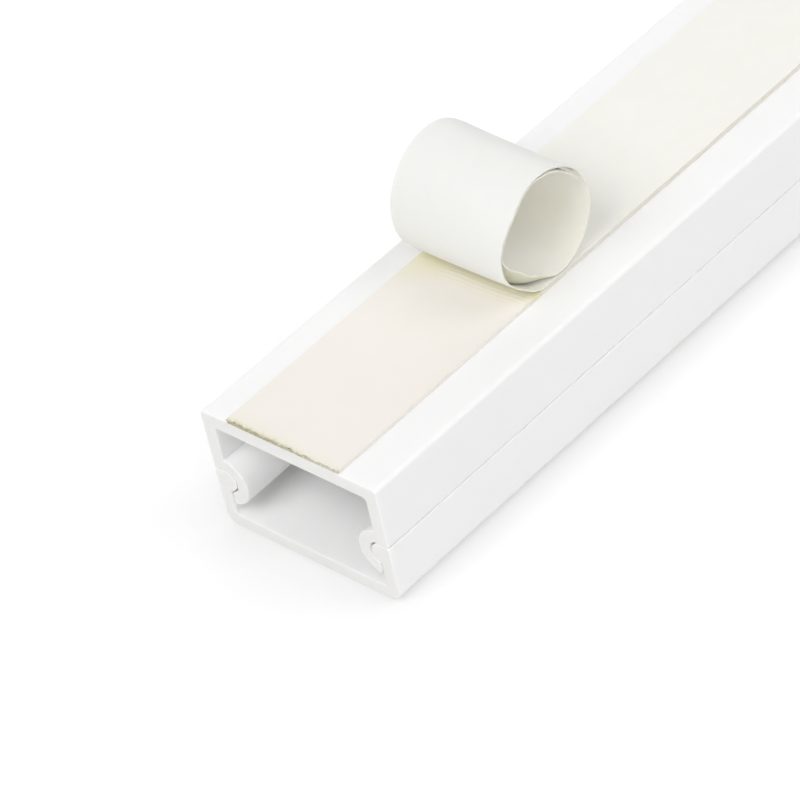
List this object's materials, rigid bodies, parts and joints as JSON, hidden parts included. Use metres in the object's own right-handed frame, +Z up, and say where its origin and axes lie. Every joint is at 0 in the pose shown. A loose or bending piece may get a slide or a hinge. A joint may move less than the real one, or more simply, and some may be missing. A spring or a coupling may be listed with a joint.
{
  "type": "cord cover raceway",
  "caption": "Plastic cord raceway: a U-shaped base with hooked legs, a cover that snaps into the hooks, an adhesive strip along the back and a paper liner curled up at one end.",
  "frame": {"origin": "middle of the cover's face, on the floor that the raceway lies on", "axes": "+Z up from the cover's face to the adhesive back, +Y along the length away from the peeled end, +X across"},
  "size_m": [0.02, 0.4, 0.0243],
  "materials": {
    "base_pvc": "white rigid PVC, satin as extruded",
    "cover_pvc": "white rigid PVC, satin as extruded",
    "adhesive": "cream pressure-sensitive adhesive, satin and tacky",
    "liner_paper": "white release paper, matt outside and silicone-coated inside"
  },
  "bodies": {
    "base": {"base_channel": "base_pvc", "adhesive_tape": "adhesive", "release_liner": "liner_paper"},
    "cover": {"cover": "cover_pvc"}
  },
  "joints": [
    {"name": "cover_slide", "type": "slide", "parent": "base", "child": "cover", "axis": [0, 1, 0], "range_m": [-0.4, 0.4]}
  ]
}
